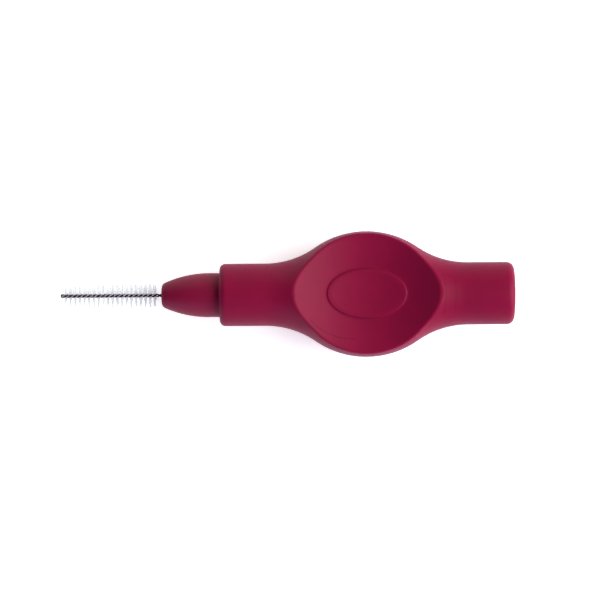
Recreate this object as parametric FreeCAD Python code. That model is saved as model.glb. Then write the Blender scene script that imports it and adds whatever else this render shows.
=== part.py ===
import FreeCAD, Part
import math
import os

# Interdental brush, in millimetres. The brush points along -X, the thumb dish faces +Z,
# and the part lies on the rim of its lower dish, with the origin under its middle.

# Lengths along the brush
brush_length = 12.15        # free wire, from the holder's mouth to the tip
nose_length = 6.97          # holder's nose, from its mouth to the handle's front face
front_reach = 17.61         # handle's front face to the middle of the thumb grip
tail_reach = 17.67          # middle of the thumb grip to the tail end

# Handle: a round bar that swells into a thumb disc
neck_diameter = 7.5
grip_width = 15.1
crown_radius = 10.8         # disc's outline, convex
blend_radius = 10.5         # run from the disc into the bar, concave
front_edge_radius = 0.7
tail_edge_radius = 0.85

# Thumb dish, cut into both faces of the disc
web_thickness = 3.60        # what is left between the two dishes
dish_sweep_radius = 16.5    # along the handle
dish_cross_radius = 45.0    # across the handle
rim_radius = 0.25
rest_flat_depth = 0.06      # flats on the rims' crests, fore and aft, that the part lies on

# Oval pad raised from the bottom of each dish
pad_length = 9.48
pad_width = 5.92
pad_rise = 0.26
pad_sweep_radius = 20.0

# Holder's nose
nose_diameter = 5.3
mouth_diameter = 2.68
mouth_edge_radius = 0.7
land_length = 1.3           # straight band in front of the handle, where a cap pushes on

# Holder's shank, moulded into the handle
shank_diameter = 3.6
shank_length = 3.6
rib_diameter = 4.6
rib_width = 0.7
rib_pitch = 1.5
seat_clearance = 0.02

# Wire: folded in half at the tip and twisted left-handed
strand_diameter = 0.20
strand_sides = 8
twist_pitch = 1.125
tip_run = 0.28              # where the strands come out of the twist into the fold
wire_embed = 2.4            # length moulded into the holder
bore_clearance = 0.03
biarcs_per_turn = 3

# Filaments, held between the two strands
filament_diameter = 0.07
filament_sides = 6
filament_spacing = 0.094
pinch_clearance = 0.005
brush_diameter = 2.86
brush_tip_diameter = 2.2
taper_length = 4.0          # from the tip's smaller diameter to the full one
bare_length = 0.5           # wire without filaments in front of the holder

cut_overrun = 1.0
match_tolerance = 0.001     # an edge this near to a surface or station lies on it

# Stations along X
overall_length = brush_length + nose_length + front_reach + tail_reach
tip_x = -overall_length / 2
mouth_x = tip_x + brush_length
front_x = mouth_x + nose_length
grip_x = front_x + front_reach
tail_x = grip_x + tail_reach

# Twist: strand centres stand off the axis by half a strand and half a filament
strand_radius = strand_diameter / 2
strand_offset = (strand_diameter + filament_diameter + pinch_clearance) / 2
wire_radius = strand_offset + strand_radius
fold_x = tip_x + wire_radius
twist_x = fold_x + tip_run
wire_end_x = mouth_x + wire_embed
turn_rate = -2 * math.pi / twist_pitch      # radians for each millimetre, left-handed
first_angle = turn_rate * tip_run / 2

X_AXIS = FreeCAD.Vector(1, 0, 0)
ORIGIN = FreeCAD.Vector(0, 0, 0)


def vector(x, y, z):
    return FreeCAD.Vector(x, y, z)


def line(start, end):
    """Straight edge in the XZ plane between two (x, z) pairs."""
    return Part.LineSegment(vector(start[0], 0, start[1]), vector(end[0], 0, end[1])).toShape()


def on_arc(centre, radius, angle):
    """The (x, z) pair on a circle at an angle in degrees from +X towards +Z."""
    turn = math.radians(angle)
    return centre[0] + radius * math.cos(turn), centre[1] + radius * math.sin(turn)


def arc(centre, radius, first, last):
    """Circular edge in the XZ plane between two angles in degrees."""
    points = [on_arc(centre, radius, a) for a in (first, (first + last) / 2, last)]
    return Part.Arc(*[vector(x, 0, z) for x, z in points]).toShape()


def revolve(edges, axis_z=0, seam_angle=90):
    """Solid of a closed XZ outline turned about a line along X, with its seam turned out of the way."""
    centre = vector(0, 0, axis_z)
    solid = Part.Face(Part.Wire(edges)).revolve(centre, X_AXIS, 360)
    solid.rotate(centre, X_AXIS, seam_angle)
    return solid


def bar(radius, start_x, length):
    """Round bar on the long axis."""
    return Part.makeCylinder(radius, length, vector(start_x, 0, 0), X_AXIS)


def turned_over(shape):
    """Copy turned half a turn about the long axis."""
    copy = shape.copy()
    copy.rotate(ORIGIN, X_AXIS, 180)
    return copy


def handle_blank():
    """Round handle before the dishes: front bar, thumb disc and tail in one outline."""
    neck = neck_diameter / 2
    half_width = grip_width / 2
    swell = half_width - neck
    reach = crown_radius + blend_radius
    run_out = math.sqrt(swell * (2 * reach - swell))
    meet = math.degrees(math.asin(run_out / reach))
    front_corner = (front_x + front_edge_radius, neck - front_edge_radius)
    front_blend = (grip_x - run_out, neck + blend_radius)
    crown = (grip_x, half_width - crown_radius)
    tail_blend = (grip_x + run_out, neck + blend_radius)
    tail_corner = (tail_x - tail_edge_radius, neck - tail_edge_radius)
    return revolve([
        line((front_x, 0), (front_x, front_corner[1])),
        arc(front_corner, front_edge_radius, 180, 90),
        line((front_corner[0], neck), (front_blend[0], neck)),
        arc(front_blend, blend_radius, 270, 270 + meet),
        arc(crown, crown_radius, 90 + meet, 90 - meet),
        arc(tail_blend, blend_radius, 270 - meet, 270),
        line((tail_blend[0], neck), (tail_corner[0], neck)),
        arc(tail_corner, tail_edge_radius, 90, 0),
        line((tail_x, tail_corner[1]), (tail_x, 0)),
        line((tail_x, 0), (front_x, 0)),
    ])


def barrel(bottom_z, sweep_radius):
    """Barrel above the disc whose belly is a dish: curved along X and, more gently, across."""
    height = grip_width / 2 - bottom_z
    half_angle = math.degrees(math.acos(1 - height / sweep_radius))
    centre = (grip_x, bottom_z + sweep_radius)
    axis_z = bottom_z + dish_cross_radius
    start = on_arc(centre, sweep_radius, 270 - half_angle)
    end = on_arc(centre, sweep_radius, 270 + half_angle)
    return revolve([
        line((start[0], axis_z), start),
        arc(centre, sweep_radius, 270 - half_angle, 270 + half_angle),
        line(end, (end[0], axis_z)),
        line((end[0], axis_z), (start[0], axis_z)),
    ], axis_z, 180)


def rim_edges(shape, cutter):
    """Edges that a dish leaves round its rim."""
    skin = cutter.Shells[0]
    found = []
    for edge in shape.Edges:
        middle = edge.valueAt((edge.FirstParameter + edge.LastParameter) / 2)
        if skin.distToShape(Part.Vertex(middle))[0] < match_tolerance:
            found.append(edge)
    return found


def oval_pad():
    """Raised oval in the bottom of the upper dish, flatter than the dish round it."""
    top = web_thickness / 2 + pad_rise
    outline = Part.Ellipse(vector(grip_x, 0, 0), pad_length / 2, pad_width / 2).toShape()
    block = Part.Face(Part.Wire(outline)).extrude(vector(0, 0, grip_width / 2))
    return block.cut(barrel(top, pad_sweep_radius))


def shank(clearance):
    """Holder's shank with its two retaining ribs, or with a clearance, the socket for it."""
    rib_start = front_x + shank_length - rib_pitch - 2 * rib_width
    solid = bar(shank_diameter / 2 + clearance, front_x, shank_length + clearance)
    for place in range(2):
        rib_x = rib_start + place * rib_pitch
        solid = solid.fuse(bar(rib_diameter / 2 + clearance, rib_x - clearance, rib_width + 2 * clearance))
    return solid.removeSplitter()


def with_rest_flats(solid):
    """The handle with the crests of both rims cut flat."""
    top = solid.optimalBoundingBox(False, False).ZMax - rest_flat_depth
    length = overall_length + 2 * cut_overrun
    width = grip_width + 2 * cut_overrun
    return solid.common(Part.makeBox(length, width, 2 * top, vector(-length / 2, -width / 2, -top)))


def make_handle():
    """Soft handle: blank, two dishes with rounded rims, two pads, rest flats and the holder's socket."""
    dish = barrel(web_thickness / 2, dish_sweep_radius)
    pad = oval_pad()
    solid = handle_blank()
    for side in (dish, turned_over(dish)):
        solid = solid.cut(side)
        solid = solid.makeFillet(rim_radius, rim_edges(solid, side))
    solid = solid.fuse([pad, turned_over(pad)]).removeSplitter()
    return with_rest_flats(solid).cut(shank(seat_clearance))


def make_holder():
    """Rigid holder: bullet nose with a straight land, shank with ribs, and the wire's bore."""
    nose = nose_diameter / 2
    mouth = mouth_diameter / 2
    land_x = front_x - land_length
    run = land_x - mouth_x
    rise = nose - mouth
    ogive_radius = (run ** 2 + rise ** 2) / (2 * rise)
    sweep = math.degrees(math.asin(run / ogive_radius))
    solid = revolve([
        line((mouth_x, 0), (mouth_x, mouth)),
        arc((land_x, nose - ogive_radius), ogive_radius, 90 + sweep, 90),
        line((land_x, nose), (front_x, nose)),
        line((front_x, nose), (front_x, 0)),
        line((front_x, 0), (mouth_x, 0)),
    ])
    lip = [e for e in solid.Edges if e.Closed and abs(e.CenterOfMass.x - mouth_x) < match_tolerance]
    solid = solid.makeFillet(mouth_edge_radius, lip)
    solid = solid.fuse(shank(0)).removeSplitter()
    bore_depth = wire_embed + strand_diameter
    return solid.cut(bar(wire_radius + bore_clearance, mouth_x - cut_overrun, cut_overrun + bore_depth))


def polygon(centre, way, radius, sides):
    """Closed regular polygon square to a direction, with one corner in the plane of that direction and X."""
    side = way.cross(X_AXIS).normalize()
    up = side.cross(way)
    corners = []
    for corner in range(sides + 1):
        turn = 2 * math.pi * corner / sides
        corners.append(centre + (up * math.cos(turn) + side * math.sin(turn)) * radius)
    return Part.makePolygon(corners)


def twist_angle(x):
    """Angle of the first strand about the long axis at a station on the twist, in radians."""
    return first_angle + turn_rate * (x - twist_x)


def biarc(start, start_way, end, end_way):
    """Two tangent arcs from one point and direction to another."""
    across = end - start
    both = start_way + end_way
    spread = 2 * (1 - start_way.dot(end_way))
    along = across.dot(both)
    reach = (math.sqrt(along ** 2 + spread * across.dot(across)) - along) / spread
    middle = (start + end + (start_way - end_way) * reach) * 0.5
    return [tangent_arc(start, start_way, middle), tangent_arc(end, end_way * -1, middle)]


def tangent_arc(start, way, end):
    """Arc that leaves one point in a given direction and ends at another."""
    chord = end - start
    straight = FreeCAD.Vector(chord).normalize()
    side = way - straight * way.dot(straight)
    sag = chord.Length / 2 * math.tan(way.getAngle(chord) / 2)
    return Part.Arc(start, (start + end) * 0.5 + side.normalize() * sag, end).toShape()


def strand_nodes():
    """Points and directions along the first strand, from the fold to its cut end."""
    nodes = [(vector(fold_x, strand_offset, 0), FreeCAD.Vector(X_AXIS))]
    twisted = wire_end_x - twist_x
    steps = math.ceil(biarcs_per_turn * twisted / twist_pitch)
    for step in range(steps + 1):
        x = twist_x + twisted * step / steps
        angle = twist_angle(x)
        y = strand_offset * math.cos(angle)
        z = strand_offset * math.sin(angle)
        nodes.append((vector(x, y, z), vector(1, -z * turn_rate, y * turn_rate).normalize()))
    return nodes


def make_wire():
    """One wire from cut end to cut end: a strand in, the fold at the tip and a strand back."""
    nodes = strand_nodes()
    outward = []
    for (start, start_way), (end, end_way) in zip(nodes, nodes[1:]):
        outward += biarc(start, start_way, end, end_way)
    near = nodes[0][0]
    far = vector(fold_x, -strand_offset, 0)
    fold = Part.Arc(near, vector(fold_x - strand_offset, 0, 0), far).toShape()
    path = Part.Wire(outward[::-1] + [fold] + [turned_over(edge) for edge in outward])
    end, end_way = nodes[-1]
    section = polygon(end, end_way, strand_radius, strand_sides)
    return path.makePipeShell([section], True, False)


def make_filament(x):
    """One filament across the brush, lying square to the line between the two strands."""
    angle = twist_angle(x)
    way = vector(0, -math.sin(angle), math.cos(angle))
    taper = min(1, (x - tip_x) / taper_length)
    length = brush_tip_diameter + (brush_diameter - brush_tip_diameter) * taper
    foot = vector(x, 0, 0) - way * (length / 2)
    section = polygon(foot, way, filament_diameter / 2, filament_sides)
    return Part.Face(section).extrude(way * length)


def make_tufts():
    """Filaments along the twist, grouped by half turn from the tip to the holder."""
    tufts = {}
    covered = mouth_x - bare_length - twist_x
    for place in range(int(covered / filament_spacing)):
        x = twist_x + (place + 0.5) * filament_spacing
        half_turn = int(-twist_angle(x) / math.pi)
        tufts.setdefault(half_turn, []).append(make_filament(x))
    return [Part.makeCompound(tufts[half_turn]) for half_turn in sorted(tufts)]


def main():
    pieces = {"handle": make_handle(), "brush_holder": make_holder(), "twisted_wire": make_wire()}
    for number, tuft in enumerate(make_tufts(), 1):
        pieces[f"tuft_{number:02d}"] = tuft
    rest_height = -pieces["handle"].optimalBoundingBox(False, False).ZMin
    os.makedirs("parts", exist_ok=True)
    for name, shape in pieces.items():
        shape.translate(vector(0, 0, rest_height))
        shape.exportStep(f"parts/{name}.step")
    print("tip, mouth, front, grip, tail x:", tip_x, mouth_x, front_x, grip_x, tail_x)
    print("long axis above the rest plane:", rest_height)


main()
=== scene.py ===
import math
import random

import bmesh
import bpy
from bpy.props import FloatProperty, FloatVectorProperty, IntProperty, PointerProperty
from bpy.types import Operator, Panel, PropertyGroup
from mathutils import Matrix, Vector


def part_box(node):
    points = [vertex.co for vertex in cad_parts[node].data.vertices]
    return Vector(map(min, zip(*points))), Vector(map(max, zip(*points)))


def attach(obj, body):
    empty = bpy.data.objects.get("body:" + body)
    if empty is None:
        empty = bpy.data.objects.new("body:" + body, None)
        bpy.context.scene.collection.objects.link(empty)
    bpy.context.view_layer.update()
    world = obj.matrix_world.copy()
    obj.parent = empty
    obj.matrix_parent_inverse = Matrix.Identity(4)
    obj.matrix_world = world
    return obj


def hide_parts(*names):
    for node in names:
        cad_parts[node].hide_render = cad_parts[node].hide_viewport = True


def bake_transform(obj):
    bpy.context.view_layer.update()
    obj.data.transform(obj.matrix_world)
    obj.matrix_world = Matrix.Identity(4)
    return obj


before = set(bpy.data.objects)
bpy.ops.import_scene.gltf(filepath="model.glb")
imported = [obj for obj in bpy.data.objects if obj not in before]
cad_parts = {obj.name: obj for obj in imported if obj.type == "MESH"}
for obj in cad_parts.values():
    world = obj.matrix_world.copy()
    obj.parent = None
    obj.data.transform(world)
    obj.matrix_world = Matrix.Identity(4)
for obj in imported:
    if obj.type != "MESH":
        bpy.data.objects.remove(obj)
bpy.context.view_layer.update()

bl_info = {
    "name": "Interdental Brush",
    "version": (1, 0, 0),
    "blender": (4, 5, 0),
    "location": "3D Viewport > Sidebar > Brush",
    "description": "Models an interdental brush with a soft, flexible thumb-grip handle",
    "category": "Add Mesh",
}

MM = 0.001
MERGE = 0.001 * MM
# Blender's noise lies mostly between these two values
NOISE_LOW = 0.3
NOISE_HIGH = 0.7

# Stations on the long axis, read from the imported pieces
HANDLE_LOW, HANDLE_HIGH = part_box("handle")
HOLDER_LOW, HOLDER_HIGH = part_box("brush_holder")
WIRE_LOW, WIRE_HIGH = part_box("twisted_wire")
AXIS_Z = (HOLDER_LOW.z + HOLDER_HIGH.z) / 2
FRONT_X = HANDLE_LOW.x
TAIL_X = HANDLE_HIGH.x
MOUTH_X = HOLDER_LOW.x
TIP_X = WIRE_LOW.x
X_AXIS = Vector((1, 0, 0))


def linear(hex_colour):
    """Linear RGBA of an sRGB hex colour."""
    channels = [int(hex_colour[i:i + 2], 16) / 255 for i in (1, 3, 5)]
    return tuple(c / 12.92 if c <= 0.04045 else ((c + 0.055) / 1.055) ** 2.4 for c in channels) + (1.0,)


def length(name, description, default):
    """A length property, in metres."""
    return FloatProperty(name=name, description=description, default=default, min=0.0, precision=6,
                         unit="LENGTH")


def colour(name, description, hex_colour):
    """A colour property, from an sRGB hex value."""
    return FloatVectorProperty(name=name, description=description, default=linear(hex_colour), size=4,
                               min=0.0, max=1.0, subtype="COLOR")


class HandleSettings(PropertyGroup):
    """Sizes and colour of the soft handle."""

    grip_reach: length("Grip reach", "From the front face to the middle of the thumb grip", 17.61 * MM)
    neck_diameter: length("Neck diameter", "Round neck and tail", 7.5 * MM)
    crown_radius: length("Crown radius", "Convex outline of the thumb disc", 10.8 * MM)
    blend_radius: length("Blend radius", "Concave run from the disc into the neck", 10.5 * MM)
    front_edge_radius: length("Front edge radius", "Round on the front edge", 0.7 * MM)
    tail_edge_radius: length("Tail edge radius", "Round on the tail edge", 0.85 * MM)
    web_thickness: length("Web thickness", "What is left between the two dishes", 3.60 * MM)
    dish_sweep_radius: length("Dish sweep radius", "Curve of a dish along the handle", 16.5 * MM)
    dish_cross_radius: length("Dish cross radius", "Curve of a dish across the handle", 45.0 * MM)
    rim_radius: length("Rim radius", "Round on the rim of a dish", 0.20 * MM)
    pad_length: length("Pad length", "Raised oval in a dish, along the handle", 9.48 * MM)
    pad_width: length("Pad width", "Raised oval in a dish, across the handle", 5.92 * MM)
    pad_rise: length("Pad rise", "Height of the oval over the bottom of a dish", 0.26 * MM)
    pad_sweep_radius: length("Pad sweep radius", "Curve of the oval along the handle", 20.0 * MM)
    pad_edge_width: length("Pad edge width", "Soft step round the oval", 0.24 * MM)
    flex_length: length("Flex length", "Stretch of the neck that bends", 4.9 * MM)
    colour: colour("Elastomer", "Crimson of the soft moulding", "#7C0731")


class HolderSettings(PropertyGroup):
    """Sizes and colour of the rigid holder."""

    mouth_diameter: length("Mouth diameter", "Front end of the nose", 2.68 * MM)
    mouth_edge_radius: length("Mouth edge radius", "Round on the front end", 0.7 * MM)
    land_length: length("Land length", "Straight band in front of the handle", 1.3 * MM)
    bore_diameter: length("Bore diameter", "Bore that holds the wire", 0.535 * MM)
    bore_depth: length("Bore depth", "Depth of that bore", 2.6 * MM)
    shank_diameter: length("Shank diameter", "Shank inside the handle", 3.6 * MM)
    rib_diameter: length("Rib diameter", "Retaining ribs on the shank", 4.6 * MM)
    rib_width: length("Rib width", "Width of a rib", 0.7 * MM)
    rib_pitch: length("Rib pitch", "From one rib to the next", 1.5 * MM)
    seat_clearance: length("Seat clearance", "Between the shank and its socket", 0.02 * MM)
    colour: colour("Plastic", "Crimson of the rigid moulding", "#7C0731")


class BrushSettings(PropertyGroup):
    """Sizes and colours of the wire and the filaments."""

    strand_diameter: length("Strand diameter", "One strand of the folded wire", 0.205 * MM)
    strand_offset: length("Strand offset", "From the long axis to the middle of a strand", 0.135 * MM)
    twist_pitch: length("Twist pitch", "Length of one full turn, left-handed", 1.125 * MM)
    tip_run: length("Tip run", "Where the strands come out of the twist into the fold", 0.28 * MM)
    fold_offset: length("Fold offset", "From the long axis to the strand's middle in the fold", 0.14 * MM)
    fold_diameter: length("Fold diameter", "The strand where the fold is pressed together", 0.32 * MM)
    bend_length: length("Bend length", "Stretch of the wire that bends, from the mouth on", 2.4 * MM)
    filament_diameter: length("Filament diameter", "One nylon filament", 0.074 * MM)
    brush_diameter: length("Brush diameter", "Full width of the brush", 2.86 * MM)
    brush_tip_diameter: length("Tip diameter", "Width of the brush at its tip", 2.2 * MM)
    taper_length: length("Taper length", "From the tip to the full width", 4.0 * MM)
    filaments: IntProperty(name="Filaments", description="Filaments in one half turn", default=9, min=1)
    coating_colour: colour("Coating", "Plum coating of the wire", "#3A0E30")
    steel_colour: colour("Steel", "Bare steel at the tip", "#9A9094")
    nylon_colour: colour("Nylon", "Clear white of the filaments", "#D5DBDA")


class StageSettings(PropertyGroup):
    """Camera, lights and floor."""

    camera_distance: length("Camera distance", "From the lens to the brush", 324.0 * MM)
    frame_width: length("Frame width", "Width of the picture at the brush", 72.0 * MM)
    aim_x: FloatProperty(name="Aim X", description="Middle of the picture, along the brush",
                         default=1.55 * MM, unit="LENGTH")
    aim_y: FloatProperty(name="Aim Y", description="Middle of the picture, across the brush",
                         default=-0.66 * MM, unit="LENGTH")
    camera_lean: FloatProperty(name="Camera lean", description="Off the vertical, to the near side",
                               default=math.radians(2.0), unit="ROTATION")
    camera_roll: FloatProperty(name="Camera roll", description="About the line of sight",
                               default=math.radians(-0.405), unit="ROTATION")
    floor_size: length("Floor size", "Side of the square floor", 4000.0 * MM)
    floor_colour: colour("Floor", "White of the table top", "#F7F7F7")
    floor_glow: FloatProperty(name="Floor glow", description="Light that comes through the table top",
                              default=0.62, min=0.0)


def add_node(tree, kind, inputs=None, **settings):
    """Adds a shader node, sets its properties and fills or links its inputs."""
    made = tree.nodes.new(kind)
    for name, value in settings.items():
        setattr(made, name, value)
    for socket, value in (inputs or {}).items():
        if isinstance(value, bpy.types.NodeSocket):
            tree.links.new(value, made.inputs[socket])
        else:
            made.inputs[socket].default_value = value
    return made


def new_material(name):
    """An empty node material and its tree."""
    material = bpy.data.materials.new(name)
    material.use_nodes = True
    material.node_tree.nodes.clear()
    return material, material.node_tree


def arc_mark(tree, place, centre, radius, half_width, low, high):
    """A fine arc drawn from above: 1 on the line, within limits along X, and 0 elsewhere."""
    flat = add_node(tree, "ShaderNodeVectorMath", {0: place, 1: (1, 1, 0)},
                    operation="MULTIPLY").outputs["Vector"]
    away = add_node(tree, "ShaderNodeVectorMath", {0: flat, 1: centre},
                    operation="DISTANCE").outputs["Value"]
    line = add_node(tree, "ShaderNodeMath", {0: away, 1: radius, 2: half_width},
                    operation="COMPARE").outputs["Value"]
    along = add_node(tree, "ShaderNodeSeparateXYZ", {"Vector": flat}).outputs["X"]
    middle = (low + high) / 2
    inside = add_node(tree, "ShaderNodeMath", {0: along, 1: middle, 2: high - middle},
                      operation="COMPARE").outputs["Value"]
    return add_node(tree, "ShaderNodeMath", {0: line, 1: inside}, operation="MULTIPLY").outputs["Value"]


def painted_crease_shade(tree, place, height, grip_x):
    """1 on the handle's fine creases and steps, where shade is painted, on its upper half only, and 0
    elsewhere.
    """
    # painted shade along a crease where the melt folded over in the near front corner of the dish
    marks = [arc_mark(tree, place, centre=(grip_x - 1.54 * MM, 1.78 * MM, 0), radius=7.22 * MM,
                      half_width=0.05 * MM, low=grip_x - 6.9 * MM, high=grip_x - 1.3 * MM)]
    # painted shade along two steps that a cutter left in the mould, behind the rim
    shaded_step_centre = (grip_x + 0.3 * MM, -0.2 * MM, 0)
    for radius, low, high in ((9.05 * MM, 9.0 * MM, 9.4 * MM), (10.25 * MM, 10.38 * MM, 10.6 * MM)):
        marks.append(arc_mark(tree, place, centre=shaded_step_centre, radius=radius, half_width=0.03 * MM,
                              low=grip_x + low, high=grip_x + high))
    every = marks[0]
    for mark in marks[1:]:
        every = add_node(tree, "ShaderNodeMath", {0: every, 1: mark}, operation="MAXIMUM").outputs["Value"]
    upper = add_node(tree, "ShaderNodeMath", {0: height, 1: AXIS_Z}, operation="GREATER_THAN")
    return add_node(tree, "ShaderNodeMath", {0: every, 1: upper.outputs["Value"]},
                    operation="MULTIPLY").outputs["Value"]


def soft_elastomer(handle_colour, grip_x):
    """Thermoplastic elastomer from a fine-blasted mould: a satin skin with slow clouding and painted shade
    along fine creases.
    """
    material, tree = new_material("moulded_elastomer")
    place = add_node(tree, "ShaderNodeTexCoord").outputs["Object"]
    height = add_node(tree, "ShaderNodeSeparateXYZ", {"Vector": place}).outputs["Z"]
    cloud_size = 2.2 * MM
    # a real blasted grain and real tool marks are finer than these, and wouldn't show
    grain_size = 0.14 * MM
    tool_step = 0.36 * MM
    band_period = math.tau / 20   # of Blender's wave bands at scale 1
    parting_half_width = 0.03 * MM
    painted_crease_darkening = -0.40   # painted shade: what a crease or step takes off the brightness
    bloom_colour = linear("#B98CFF")   # faint violet of the soft skin at a low angle
    cloud = add_node(tree, "ShaderNodeTexNoise", {"Vector": place, "Scale": 1 / cloud_size, "Detail": 3.0})
    grain = add_node(tree, "ShaderNodeTexNoise", {"Vector": place, "Scale": 1 / grain_size, "Detail": 2.0})
    tool = add_node(tree, "ShaderNodeTexWave", {
        "Vector": place,
        "Scale": band_period / tool_step,
        "Distortion": 4.0,
        "Detail": 2.0,
        "Detail Scale": 0.6,
    })
    tint = add_node(tree, "ShaderNodeMapRange", {
        "Value": cloud.outputs["Fac"],
        "From Min": NOISE_LOW,
        "From Max": NOISE_HIGH,
        "To Min": 0.95,
        "To Max": 1.05,
    })
    # the random tone, darkened by the painted shade on the creases and steps
    tone_with_crease_shade = add_node(tree, "ShaderNodeMath", {
        0: painted_crease_shade(tree, place, height, grip_x),
        1: painted_crease_darkening,
        2: tint.outputs["Result"],
    }, operation="MULTIPLY_ADD")
    shade = add_node(tree, "ShaderNodeVectorMath", {0: handle_colour[:3], "Scale": tone_with_crease_shade.outputs["Value"]},
                     operation="SCALE")
    satin = add_node(tree, "ShaderNodeMapRange", {
        "Value": grain.outputs["Fac"],
        "From Min": NOISE_LOW,
        "From Max": NOISE_HIGH,
        "To Min": 0.50,
        "To Max": 0.58,
    })
    parting = add_node(tree, "ShaderNodeMath", {0: height, 1: AXIS_Z, 2: parting_half_width},
                       operation="COMPARE")
    skin = add_node(tree, "ShaderNodeBump", {
        "Height": grain.outputs["Fac"],
        "Strength": 0.25,
        "Distance": 0.004 * MM,
    })
    lines = add_node(tree, "ShaderNodeBump", {
        "Height": tool.outputs["Fac"],
        "Strength": 0.3,
        "Distance": 0.003 * MM,
        "Normal": skin.outputs["Normal"],
    })
    seam = add_node(tree, "ShaderNodeBump", {
        "Height": parting.outputs["Value"],
        "Strength": 0.6,
        "Distance": 0.02 * MM,
        "Normal": lines.outputs["Normal"],
    })
    shader = add_node(tree, "ShaderNodeBsdfPrincipled", {
        "Base Color": shade.outputs["Vector"],
        "Roughness": satin.outputs["Result"],
        "IOR": 1.48,
        "Specular IOR Level": 0.12,
        "Sheen Weight": 0.10,
        "Sheen Roughness": 0.3,
        "Sheen Tint": bloom_colour,
        "Normal": seam.outputs["Normal"],
    })
    add_node(tree, "ShaderNodeOutputMaterial", {"Surface": shader.outputs["BSDF"]})
    return material


def moulded_polypropylene(holder_colour):
    """Polypropylene from a smoother mould: harder and a little glossier than the handle."""
    material, tree = new_material("moulded_polypropylene")
    place = add_node(tree, "ShaderNodeTexCoord").outputs["Object"]
    grain_size = 0.22 * MM   # coarser than the real grain, which wouldn't show
    grain = add_node(tree, "ShaderNodeTexNoise", {"Vector": place, "Scale": 1 / grain_size, "Detail": 2.0})
    satin = add_node(tree, "ShaderNodeMapRange", {
        "Value": grain.outputs["Fac"],
        "From Min": NOISE_LOW,
        "From Max": NOISE_HIGH,
        "To Min": 0.50,
        "To Max": 0.58,
    })
    bump = add_node(tree, "ShaderNodeBump", {
        "Height": grain.outputs["Fac"],
        "Strength": 0.2,
        "Distance": 0.004 * MM,
    })
    shader = add_node(tree, "ShaderNodeBsdfPrincipled", {
        "Base Color": holder_colour,
        "Roughness": satin.outputs["Result"],
        "IOR": 1.49,
        "Specular IOR Level": 0.18,
        "Normal": bump.outputs["Normal"],
    })
    add_node(tree, "ShaderNodeOutputMaterial", {"Surface": shader.outputs["BSDF"]})
    return material


def coated_steel_wire(coating_colour, steel_colour):
    """Drawn stainless wire under a thin plum coating: a dark plum shine, and bare steel at the fold."""
    material, tree = new_material("coated_steel_wire")
    place = add_node(tree, "ShaderNodeTexCoord").outputs["Object"]
    along = add_node(tree, "ShaderNodeSeparateXYZ", {"Vector": place}).outputs["X"]
    bare_length = 0.35 * MM
    fade_length = 0.40 * MM
    bare = add_node(tree, "ShaderNodeMapRange", {
        "Value": along,
        "From Min": TIP_X + bare_length,
        "From Max": TIP_X + bare_length + fade_length,
        "To Min": 1.0,
        "To Max": 0.0,
    }, interpolation_type="SMOOTHSTEP").outputs["Result"]
    shade = add_node(tree, "ShaderNodeMix", {"Factor": bare, "A": coating_colour, "B": steel_colour},
                     data_type="RGBA")
    # the coating is thin enough for the steel under it to shine
    metal = add_node(tree, "ShaderNodeMapRange", {"Value": bare, "To Min": 0.85, "To Max": 1.0})
    satin = add_node(tree, "ShaderNodeMapRange", {"Value": bare, "To Min": 0.28, "To Max": 0.25})
    shader = add_node(tree, "ShaderNodeBsdfPrincipled", {
        "Base Color": shade.outputs["Result"],
        "Metallic": metal.outputs["Result"],
        "Roughness": satin.outputs["Result"],
        "Specular IOR Level": 0.1,
    })
    add_node(tree, "ShaderNodeOutputMaterial", {"Surface": shader.outputs["BSDF"]})
    return material


def drawn_nylon(nylon_colour):
    """Drawn nylon filament: slightly milky and half see-through, with a soft shine along its length."""
    material, tree = new_material("drawn_nylon")
    # alpha lets light straight through, so that close filaments hardly darken each other
    shader = add_node(tree, "ShaderNodeBsdfPrincipled", {
        "Base Color": nylon_colour,
        "Roughness": 0.3,
        "IOR": 1.53,
        "Transmission Weight": 0.3,
        "Alpha": 0.5,
    })
    add_node(tree, "ShaderNodeOutputMaterial", {"Surface": shader.outputs["BSDF"]})
    return material


def opal_acrylic(floor_colour, glow):
    """Opal acrylic table top, lit softly from below: matt white, and its shadows stay pale."""
    material, tree = new_material("opal_acrylic")
    shader = add_node(tree, "ShaderNodeBsdfPrincipled", {
        "Base Color": floor_colour,
        "Roughness": 0.9,
        "Specular IOR Level": 0.1,
        "Emission Color": floor_colour,
        "Emission Strength": glow,
    })
    add_node(tree, "ShaderNodeOutputMaterial", {"Surface": shader.outputs["BSDF"]})
    return material


def new_piece(name, bm, material, crease=40.0):
    """An object at the origin from a finished bmesh, smooth but for edges sharper than the crease angle."""
    bmesh.ops.recalc_face_normals(bm, faces=bm.faces)
    mesh = bpy.data.meshes.new(name)
    bm.to_mesh(mesh)
    bm.free()
    mesh.shade_smooth()
    mesh.set_sharp_from_angle(angle=math.radians(crease))
    mesh.materials.append(material)
    piece = bpy.data.objects.new(name, mesh)
    bpy.context.scene.collection.objects.link(piece)
    return piece


def stand_for(node):
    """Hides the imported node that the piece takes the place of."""
    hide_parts(node)


def on_round(centre, radius, first, last, steps):
    """Points (x, r) on an arc between two angles in degrees, both ends included."""
    turns = [math.radians(first + (last - first) * step / steps) for step in range(steps + 1)]
    return [(centre[0] + radius * math.cos(t), centre[1] + radius * math.sin(t)) for t in turns]


def evenly(start, end, steps):
    """Values from start to end, both included."""
    return [start + (end - start) * step / steps for step in range(steps + 1)]


def turn_outline(bm, outline, columns, angle=math.tau):
    """Spins an outline of (x, r) points about the long axis, from the near side over the top."""
    before = len(bm.verts)
    chain = [bm.verts.new((x, -r, AXIS_Z)) for x, r in outline]
    edges = [bm.edges.new(pair) for pair in zip(chain, chain[1:])]
    bmesh.ops.spin(bm, geom=chain + edges, cent=(0, 0, AXIS_Z), axis=X_AXIS, angle=-angle, steps=columns,
                   use_merge=angle == math.tau)
    bm.verts.ensure_lookup_table()
    return bm.verts[before:]


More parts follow.
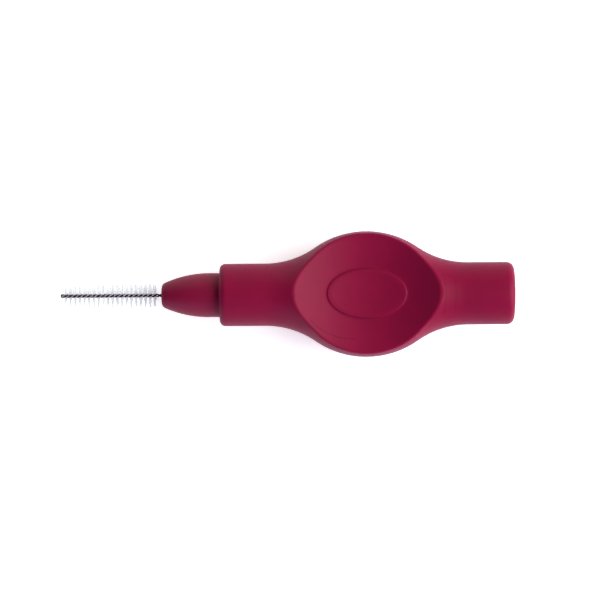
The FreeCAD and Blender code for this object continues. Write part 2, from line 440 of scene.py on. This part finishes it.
def shank_outline(holder, clearance):
    """Outline (x, r) of the holder's shank from the handle's front face to its blind end."""
    shank = holder.shank_diameter / 2 + clearance
    rib = holder.rib_diameter / 2 + clearance
    end_x = HOLDER_HIGH.x + clearance
    points = [(FRONT_X, shank)]
    # two ribs, the last of them one rib width short of the end
    for place in (1, 0):
        start = HOLDER_HIGH.x - 2 * holder.rib_width - place * holder.rib_pitch - clearance
        stop = start + holder.rib_width + 2 * clearance
        points += [(start, shank), (start, rib), (stop, rib), (stop, shank)]
    return points + [(end_x, shank), (end_x, 0)]


class HandleForm:
    """Formulas of the handle's surfaces. Heights and radii are measured from its long axis."""

    halvings = 60
    slope_steps = 20   # in the rim's radius, each the half width over which a slope is taken

    def __init__(self, size):
        self.size = size
        self.grip_x = FRONT_X + size.grip_reach
        self.neck = size.neck_diameter / 2
        self.half_width = (HANDLE_HIGH.y - HANDLE_LOW.y) / 2
        swell = self.half_width - self.neck
        reach = size.crown_radius + size.blend_radius
        self.run_out = math.sqrt(swell * (2 * reach - swell))
        self.meet = self.run_out * size.crown_radius / reach
        self.rim_angle = self.root(lambda angle: self.over_dish(0, angle), math.pi / 2)
        self.rim_width = self.half_width * math.sin(self.rim_angle)
        self.rim_length = self.rim_offset(0)

    def root(self, falling, high):
        """Where a falling function crosses zero between 0 and a high value."""
        low = 0.0
        for _ in range(self.halvings):
            middle = (low + high) / 2
            low, high = (middle, high) if falling(middle) > 0 else (low, middle)
        return low

    def bar_radius(self, offset):
        """Radius of the handle before its dishes, at a distance along it from the middle of the grip."""
        size = self.size
        offset = abs(offset)
        if offset < self.meet:
            return self.half_width - size.crown_radius + math.sqrt(size.crown_radius ** 2 - offset ** 2)
        if offset < self.run_out:
            run = self.run_out - offset
            return self.neck + size.blend_radius - math.sqrt(size.blend_radius ** 2 - run ** 2)
        return self.neck

    def barrel_height(self, offset, y, bottom, sweep):
        """Height of a surface that curves along the handle and, more gently, across it."""
        cross = self.size.dish_cross_radius
        turned = cross - sweep + math.sqrt(sweep ** 2 - offset ** 2)
        return bottom + cross - math.sqrt(turned ** 2 - y ** 2)

    def dish_height(self, offset, y):
        return self.barrel_height(offset, y, self.size.web_thickness / 2, self.size.dish_sweep_radius)

    def pad_height(self, offset, y):
        bottom = self.size.web_thickness / 2 + self.size.pad_rise
        return self.barrel_height(offset, y, bottom, self.size.pad_sweep_radius)

    def over_dish(self, offset, angle):
        """How far the blank stands over the dish, at an angle from straight up."""
        radius = self.bar_radius(offset)
        return radius * math.cos(angle) - self.dish_height(offset, radius * math.sin(angle))

    def over_surfaces(self, offset, y, height):
        """How far a point stands over the blank and over the dish, each with the way outwards."""
        step = self.size.rim_radius / self.slope_steps
        spread = math.hypot(y, height)
        slope = (self.bar_radius(offset + step) - self.bar_radius(offset - step)) / (2 * step)
        bar_lean = math.hypot(1, slope)
        bar_way = Vector((-slope, y / spread, height / spread)) / bar_lean
        bar_over = (spread - self.bar_radius(offset)) / bar_lean
        slope_x = (self.dish_height(offset + step, y) - self.dish_height(offset - step, y)) / (2 * step)
        slope_y = (self.dish_height(offset, y + step) - self.dish_height(offset, y - step)) / (2 * step)
        dish_lean = math.hypot(1, slope_x, slope_y)
        dish_way = Vector((-slope_x, -slope_y, 1)) / dish_lean
        dish_over = (height - self.dish_height(offset, y)) / dish_lean
        return bar_over, bar_way, dish_over, dish_way

    def rim_offset(self, angle):
        """Distance along the handle from the middle of the grip to the rim, at an angle from straight up."""
        if angle >= self.rim_angle:
            return 0.0
        return self.root(lambda offset: self.over_dish(offset, angle), self.run_out)


class INTERDENTAL_OT_add_handle(Operator):
    """Adds the soft handle with its two thumb dishes"""

    bl_idname = "interdental.add_handle"
    bl_label = "Add Handle"

    columns = 120
    lens_share = 2 / 3   # of the spun columns, those that end at the rim of the dish
    rows = 48
    neck_rows = 20
    tail_rows = 8
    edge_steps = 6
    angle_digits = 6   # columns that agree in these share one rim point
    dish_rings = 16
    ring_crowding = 1.5   # over 1, the dish's rings crowd towards its rim
    pad_edge_rings = 6
    pad_rings = 8
    soften_passes = 4

    def execute(self, context):
        size = context.scene.brush_handle
        form = HandleForm(size)
        bm = bmesh.new()
        for side in (-1, 1):
            self.add_end(bm, form, context.scene.brush_holder, side)
        bmesh.ops.remove_doubles(bm, verts=bm.verts, dist=MERGE)
        self.add_dish(bm, form)
        self.soften_rim(bm, form)
        # the lower half mirrors the upper one in the plane where the mould parts
        bmesh.ops.mirror(bm, geom=bm.verts[:] + bm.edges[:] + bm.faces[:], axis="Z",
                         matrix=Matrix.Translation((0, 0, -AXIS_Z)))
        bmesh.ops.remove_doubles(bm, verts=bm.verts, dist=MERGE)
        handle = new_piece("soft_handle", bm, soft_elastomer(size.colour, form.grip_x))
        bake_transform(handle)
        stand_for("handle")
        return {"FINISHED"}

    def outline(self, form, holder, side):
        """Outline (x, r) of the front or tail end, from the long axis to the middle of the grip."""
        size = form.size
        swell_x = form.grip_x + side * form.run_out
        rows = [(x, form.bar_radius(x - form.grip_x)) for x in evenly(swell_x, form.grip_x, self.rows)]
        if side < 0:
            edge = size.front_edge_radius
            corner_x = FRONT_X + edge
            end = shank_outline(holder, holder.seat_clearance)[::-1]
            end += on_round((corner_x, form.neck - edge), edge, 180, 90, self.edge_steps)
            bar = [(x, form.neck) for x in evenly(corner_x, swell_x, self.neck_rows)]
        else:
            edge = size.tail_edge_radius
            corner_x = TAIL_X - edge
            end = [(TAIL_X, 0)] + on_round((corner_x, form.neck - edge), edge, 0, 90, self.edge_steps)
            bar = [(x, form.neck) for x in evenly(corner_x, swell_x, self.tail_rows)]
        return end + bar[1:] + rows[1:]

    def column_angle(self, angle, rim_angle):
        """Moves a spun column so that the columns crowd where the rim turns back at the disc's side."""
        spun = abs(angle) / (math.pi / 2)
        if spun < self.lens_share:
            moved = rim_angle * math.sin(math.pi / 2 * spun / self.lens_share)
        else:
            moved = rim_angle + (math.pi / 2 - rim_angle) * (spun - self.lens_share) / (1 - self.lens_share)
        return math.copysign(moved, angle)

    def add_end(self, bm, form, holder, side):
        """Spins one end over the top and draws its rows back from the middle of the grip to the rim."""
        rim_offsets = {}
        for vert in turn_outline(bm, self.outline(form, holder, side), self.columns, math.pi):
            height = vert.co.z - AXIS_Z
            radius = math.hypot(vert.co.y, height)
            angle = self.column_angle(math.atan2(vert.co.y, height), form.rim_angle)
            offset = vert.co.x - form.grip_x
            if abs(offset) < form.run_out - MERGE:
                column = round(abs(angle), self.angle_digits)
                if column not in rim_offsets:
                    rim_offsets[column] = form.rim_offset(column)
                rim = rim_offsets[column]
                offset = side * (rim + abs(offset) * (form.run_out - rim) / form.run_out)
                radius = form.bar_radius(offset)
            vert.co = (form.grip_x + offset, radius * math.sin(angle), AXIS_Z + radius * math.cos(angle))

    def ring_place(self, form, rim_place, ring):
        """Place (offset, y, height) on the ring of the dish that belongs to a point on its rim."""
        size = form.size
        rim_x, rim_y = rim_place
        turn = math.atan2(rim_y / form.rim_width, rim_x / form.rim_length)
        half_edge = size.pad_edge_width / 2

        def on_oval(grow):
            along = (size.pad_length / 2 + grow) * math.cos(turn)
            return along, (size.pad_width / 2 + grow) * math.sin(turn)

        if ring <= self.dish_rings:
            share = (ring / self.dish_rings) ** self.ring_crowding
            oval = on_oval(half_edge)
            x = rim_x + (oval[0] - rim_x) * share
            y = rim_y + (oval[1] - rim_y) * share
            return x, y, form.dish_height(x, y)
        ring -= self.dish_rings
        if ring <= self.pad_edge_rings:
            share = ring / self.pad_edge_rings
            x, y = on_oval(half_edge - size.pad_edge_width * share)
            rise = share * share * (3 - 2 * share)
            foot = form.dish_height(x, y)
            return x, y, foot + (form.pad_height(x, y) - foot) * rise
        ring -= self.pad_edge_rings
        share = 1 - ring / self.pad_rings
        x, y = (place * share for place in on_oval(-half_edge))
        return x, y, form.pad_height(x, y)

    def add_dish(self, bm, form):
        """Closes the open lens on top with rings from the rim in to the middle of the pad."""
        above_parting = AXIS_Z + form.size.web_thickness / 4
        loop = [e for e in bm.edges if e.is_boundary and e.verts[0].co.z > above_parting]
        rim_of = {v: (v.co.x - form.grip_x, v.co.y) for e in loop for v in e.verts}
        for ring in range(1, self.dish_rings + self.pad_edge_rings + self.pad_rings + 1):
            made = bmesh.ops.extrude_edge_only(bm, edges=loop)["geom"]
            corners = {g for g in made if isinstance(g, bmesh.types.BMVert)}
            inner = {}
            for vert in corners:
                joined = [e.other_vert(vert) for e in vert.link_edges]
                outer = next(other for other in joined if other not in corners)
                inner[vert] = rim_of[outer]
                x, y, height = self.ring_place(form, inner[vert], ring)
                vert.co = (form.grip_x + x, y, AXIS_Z + height)
            rim_of = inner
            loop = [g for g in made if isinstance(g, bmesh.types.BMEdge) and corners.issuperset(g.verts)]
        top = (form.grip_x, 0, AXIS_Z + form.pad_height(0, 0))
        bmesh.ops.pointmerge(bm, verts=list(corners), merge_co=top)

    def soften_rim(self, bm, form):
        """Draws the corners near the rim in to a round, and cuts its crests flat where the handle lies."""
        radius = form.size.rim_radius
        for vert in bm.verts:
            if abs(vert.co.x - form.grip_x) > form.run_out:
                continue
            for _ in range(self.soften_passes):
                bar_over, bar_way, dish_over, dish_way = form.over_surfaces(
                    vert.co.x - form.grip_x, vert.co.y, vert.co.z - AXIS_Z)
                bar_share = bar_over + radius
                dish_share = dish_over + radius
                if min(bar_share, dish_share) <= 0:
                    break
                way = (bar_way * bar_share + dish_way * dish_share).normalized()
                vert.co -= way * (math.hypot(bar_share, dish_share) - radius)
            vert.co.z = min(vert.co.z, HANDLE_HIGH.z)


class INTERDENTAL_OT_add_holder(Operator):
    """Adds the rigid holder between the handle and the wire"""

    bl_idname = "interdental.add_holder"
    bl_label = "Add Holder"

    columns = 128
    nose_rows = 36
    edge_steps = 8

    def execute(self, context):
        size = context.scene.brush_holder
        bm = bmesh.new()
        turn_outline(bm, self.outline(size), self.columns)
        bmesh.ops.remove_doubles(bm, verts=bm.verts, dist=MERGE)
        holder = new_piece("holder_nose", bm, moulded_polypropylene(size.colour))
        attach(holder, "head")
        stand_for("brush_holder")
        return {"FINISHED"}

    def outline(self, size):
        """Outline (x, r) from the bottom of the bore, out over the nose and back along the shank."""
        nose = (HOLDER_HIGH.y - HOLDER_LOW.y) / 2
        mouth = size.mouth_diameter / 2
        bore = size.bore_diameter / 2
        land_x = FRONT_X - size.land_length
        run = land_x - MOUTH_X
        rise = nose - mouth
        ogive = (run ** 2 + rise ** 2) / (2 * rise)
        centre_r = nose - ogive
        edge = size.mouth_edge_radius
        # the round at the mouth touches the front face and the inside of the ogive
        edge_x = MOUTH_X + edge
        edge_r = centre_r + math.sqrt((ogive - edge) ** 2 - (land_x - edge_x) ** 2)
        touch = math.degrees(math.atan2(edge_r - centre_r, edge_x - land_x))
        points = [(MOUTH_X + size.bore_depth, 0), (MOUTH_X + size.bore_depth, bore), (MOUTH_X, bore)]
        points += on_round((edge_x, edge_r), edge, 180, touch, self.edge_steps)
        points += on_round((land_x, centre_r), ogive, touch, 90, self.nose_rows)[1:]
        points += [(FRONT_X, nose)]
        return points + shank_outline(size, 0)


class Twist:
    """The path of the twisted wire: the angle of its first strand at each station."""

    def __init__(self, size):
        self.start_x = TIP_X + size.strand_offset + size.strand_diameter / 2 + size.tip_run
        self.rate = -math.tau / size.twist_pitch
        self.first_angle = self.rate * size.tip_run / 2

    def angle(self, x):
        return self.first_angle + self.rate * (x - self.start_x)

    def outward(self, x):
        """Direction from the long axis to the first strand."""
        return Vector((0, math.cos(self.angle(x)), math.sin(self.angle(x))))

    def across(self, x):
        """Direction of a filament that lies between the two strands."""
        return Vector((0, -math.sin(self.angle(x)), math.cos(self.angle(x))))


def bend_wire_piece(piece, size):
    """A piece on the wire that reaches within the bend length of the mouth is left unattached; one further
    out rides on the stem.
    """
    start = Vector((MOUTH_X, 0, AXIS_Z))
    end = start - X_AXIS * size.bend_length
    if max(v.co.x for v in piece.data.vertices) > end.x:
        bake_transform(piece)
    else:
        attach(piece, "stem")


class INTERDENTAL_OT_add_wire(Operator):
    """Adds the folded and twisted wire"""

    bl_idname = "interdental.add_wire"
    bl_label = "Add Wire"

    sides = 10
    steps_per_turn = 16
    fold_steps = 12
    run_cuts = 3
    run_smoothing = 0.5

    def execute(self, context):
        size = context.scene.brush_wire
        twist = Twist(size)
        bm = bmesh.new()
        starts = [self.add_strand(bm, size, twist, hand) for hand in (1, -1)]
        ends = self.add_fold(bm, size, twist)
        for start, end in zip(starts, ends):
            self.join(bm, start, end)
        bmesh.ops.holes_fill(bm, edges=[e for e in bm.edges if e.is_boundary], sides=self.sides)
        wire = new_piece("twisted_stem", bm, coated_steel_wire(size.coating_colour, size.steel_colour))
        bend_wire_piece(wire, size)
        stand_for("twisted_wire")
        return {"FINISHED"}

    def ring(self, bm, diameter, centre, way):
        """A round ring of edges, square to the way that the strand runs."""
        turn = way.to_track_quat("Z", "X").to_matrix().to_4x4()
        made = bmesh.ops.create_circle(bm, cap_ends=False, segments=self.sides, radius=diameter / 2,
                                       matrix=Matrix.Translation(centre) @ turn)["verts"]
        return made, list({e for v in made for e in v.link_edges})

    def add_strand(self, bm, size, twist, hand):
        """One strand of the twist, as a screw. Returns its first ring of edges."""
        outward = twist.outward(twist.start_x) * hand
        centre = Vector((twist.start_x, 0, AXIS_Z)) + outward * size.strand_offset
        way = X_AXIS + twist.across(twist.start_x) * hand * size.strand_offset * twist.rate
        verts, edges = self.ring(bm, size.strand_diameter, centre, way.normalized())
        run = WIRE_HIGH.x - size.strand_diameter / 2 - twist.start_x
        steps = round(self.steps_per_turn * run / size.twist_pitch)
        bmesh.ops.spin(bm, geom=verts + edges, cent=centre - outward * size.strand_offset, axis=X_AXIS,
                       dvec=X_AXIS * run / steps, angle=twist.rate * run, steps=steps)
        return edges

    def add_fold(self, bm, size, twist):
        """The half turn at the tip. Returns the rings of edges at its two ends."""
        middle = Vector((TIP_X + size.fold_offset + size.fold_diameter / 2, 0, AXIS_Z))
        verts, first = self.ring(bm, size.fold_diameter, middle + Vector((0, size.fold_offset, 0)), X_AXIS)
        made = bmesh.ops.spin(bm, geom=verts + first, cent=middle, axis=(0, 0, 1), angle=math.pi,
                              steps=self.fold_steps)["geom_last"]
        return first, [g for g in made if isinstance(g, bmesh.types.BMEdge)]

    def join(self, bm, start, end):
        """Skins the short run between a strand of the twist and the fold."""
        made = bmesh.ops.bridge_loops(bm, edges=start + end)["edges"]
        bmesh.ops.subdivide_edges(bm, edges=made, cuts=self.run_cuts, smooth=self.run_smoothing)


class INTERDENTAL_OT_add_tufts(Operator):
    """Adds the nylon filaments, one piece for each half turn of the wire"""

    bl_idname = "interdental.add_tufts"
    bl_label = "Add Tufts"

    seed = 7
    sides = 5
    cuts = 3
    # shares of a filament's length
    length_spread = 0.025
    lean_spread = 0.012
    bow_spread = 0.02

    def execute(self, context):
        size = context.scene.brush_wire
        twist = Twist(size)
        draw = random.Random(self.seed)
        nylon = drawn_nylon(size.nylon_colour)
        spacing = size.twist_pitch / 2 / size.filaments
        for node in sorted(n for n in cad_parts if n.startswith("tuft_")):
            low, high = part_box(node)
            count = max(1, round((high.x - low.x) / spacing))
            bm = bmesh.new()
            for place in range(count):
                x = low.x + (place + 0.5) * (high.x - low.x) / count
                self.add_filament(bm, size, twist, x, draw)
            tuft = new_piece("nylon_" + node, bm, nylon)
            bend_wire_piece(tuft, size)
            stand_for(node)
        return {"FINISHED"}

    def add_filament(self, bm, size, twist, x, draw):
        """One filament through the wire, slightly uneven in length, lean and bow."""
        taper = min(1, (x - TIP_X) / size.taper_length)
        span = size.brush_tip_diameter + (size.brush_diameter - size.brush_tip_diameter) * taper
        span *= 1 + draw.uniform(-self.length_spread, self.length_spread)
        lean = draw.uniform(-self.lean_spread, self.lean_spread)
        bow = draw.uniform(-self.bow_spread, self.bow_spread) * span
        radius = size.filament_diameter / 2
        before = len(bm.verts)
        ends = bmesh.ops.create_cone(bm, cap_ends=True, segments=self.sides, radius1=radius, radius2=radius,
                                     depth=span)["verts"]
        edges = {e for v in ends for e in v.link_edges}
        long_edges = [e for e in edges if abs(e.verts[0].co.z - e.verts[1].co.z) > radius]
        bmesh.ops.subdivide_edges(bm, edges=long_edges, cuts=self.cuts)
        across = twist.across(x)
        turn = Matrix((X_AXIS, across.cross(X_AXIS), across)).transposed()
        bm.verts.ensure_lookup_table()
        for vert in bm.verts[before:]:
            share = vert.co.z * 2 / span
            sway = Vector((lean * vert.co.z + bow * share * share, 0, 0))
            vert.co = Vector((x, 0, AXIS_Z)) + turn @ (vert.co + sway)


class INTERDENTAL_OT_add_stage(Operator):
    """Adds the floor, the lights and the camera"""

    bl_idname = "interdental.add_stage"
    bl_label = "Add Stage"

    floor_cells = 8
    room_light = 0.03
    light_distance = 600 * MM
    near_clip = 10 * MM

    def execute(self, context):
        size = context.scene.brush_stage
        self.add_floor(size)
        self.add_sky(context.scene, size)
        aim = Vector((size.aim_x, size.aim_y, AXIS_Z))
        self.add_softbox("key_softbox", aim, azimuth=0, elevation=34, side=500 * MM, watts=7.0)
        self.add_softbox("far_softbox", aim, azimuth=110, elevation=20, side=450 * MM, watts=1.35)
        self.add_softbox("near_softbox", aim, azimuth=-115, elevation=20, side=450 * MM, watts=2.0,
                         tint="#D6D0FF")
        self.add_camera(context.scene, size, aim)
        context.scene.view_settings.view_transform = "Standard"
        return {"FINISHED"}

    def add_floor(self, size):
        """The table top that the brush lies on."""
        bm = bmesh.new()
        bmesh.ops.create_grid(bm, x_segments=self.floor_cells, y_segments=self.floor_cells,
                              size=size.floor_size / 2)
        new_piece("floor", bm, opal_acrylic(size.floor_colour, size.floor_glow))

    def add_sky(self, scene, size):
        """A dim room for the light. The camera sees it as pale as the far end of the floor."""
        world = bpy.data.worlds.new("studio_room")
        world.use_nodes = True
        tree = world.node_tree
        tree.nodes.clear()
        seen = add_node(tree, "ShaderNodeLightPath").outputs["Is Camera Ray"]
        glow = add_node(tree, "ShaderNodeMapRange", {
            "Value": seen,
            "To Min": self.room_light,
            "To Max": size.floor_glow,
        })
        light = add_node(tree, "ShaderNodeBackground", {
            "Color": size.floor_colour,
            "Strength": glow.outputs["Result"],
        })
        add_node(tree, "ShaderNodeOutputWorld", {"Surface": light.outputs["Background"]})
        scene.world = world

    def add_softbox(self, name, aim, azimuth, elevation, side, watts, tint="#FFFFFF"):
        """A square area light, turned to the brush. Azimuth 0 is at the tail's side, 90 at the far side."""
        light = bpy.data.lights.new(name, "AREA")
        light.shape = "SQUARE"
        light.size = side
        light.energy = watts
        light.color = linear(tint)[:3]
        around = math.radians(azimuth)
        up = math.radians(elevation)
        away = Vector((math.cos(up) * math.cos(around), math.cos(up) * math.sin(around), math.sin(up)))
        box = bpy.data.objects.new(name, light)
        box.location = aim + away * self.light_distance
        box.rotation_euler = away.to_track_quat("Z", "Y").to_euler()
        bpy.context.scene.collection.objects.link(box)

    def add_camera(self, scene, size, aim):
        """Looks almost straight down, at the photograph's framing."""
        camera = bpy.data.cameras.new("camera")
        camera.sensor_fit = "HORIZONTAL"
        camera.lens = camera.sensor_width * size.camera_distance / size.frame_width
        camera.clip_start = self.near_clip
        stand = bpy.data.objects.new("camera", camera)
        away = Vector((0, -math.sin(size.camera_lean), math.cos(size.camera_lean)))
        axes = Matrix((X_AXIS, away.cross(X_AXIS), away)).transposed()
        turn = axes.to_4x4() @ Matrix.Rotation(size.camera_roll, 4, "Z")
        stand.matrix_world = Matrix.Translation(aim + away * size.camera_distance) @ turn
        scene.collection.objects.link(stand)
        scene.camera = stand


class INTERDENTAL_PT_panel(Panel):
    """Lists the pieces of the brush"""

    bl_label = "Interdental Brush"
    bl_space_type = "VIEW_3D"
    bl_region_type = "UI"
    bl_category = "Brush"

    def draw(self, context):
        for operator in OPERATORS:
            self.layout.operator(operator.bl_idname)


SETTINGS = {
    "brush_handle": HandleSettings,
    "brush_holder": HolderSettings,
    "brush_wire": BrushSettings,
    "brush_stage": StageSettings,
}
OPERATORS = (
    INTERDENTAL_OT_add_handle,
    INTERDENTAL_OT_add_holder,
    INTERDENTAL_OT_add_wire,
    INTERDENTAL_OT_add_tufts,
    INTERDENTAL_OT_add_stage,
)


def register():
    for name, group in SETTINGS.items():
        bpy.utils.register_class(group)
        setattr(bpy.types.Scene, name, PointerProperty(type=group))
    for item in OPERATORS + (INTERDENTAL_PT_panel,):
        bpy.utils.register_class(item)


def unregister():
    for item in reversed(OPERATORS + (INTERDENTAL_PT_panel,)):
        bpy.utils.unregister_class(item)
    for name, group in SETTINGS.items():
        delattr(bpy.types.Scene, name)
        bpy.utils.unregister_class(group)


def main():
    register()
    bpy.ops.interdental.add_handle()
    bpy.ops.interdental.add_holder()
    bpy.ops.interdental.add_wire()
    bpy.ops.interdental.add_tufts()
    bpy.ops.interdental.add_stage()


if __name__ == "__main__":
    main()
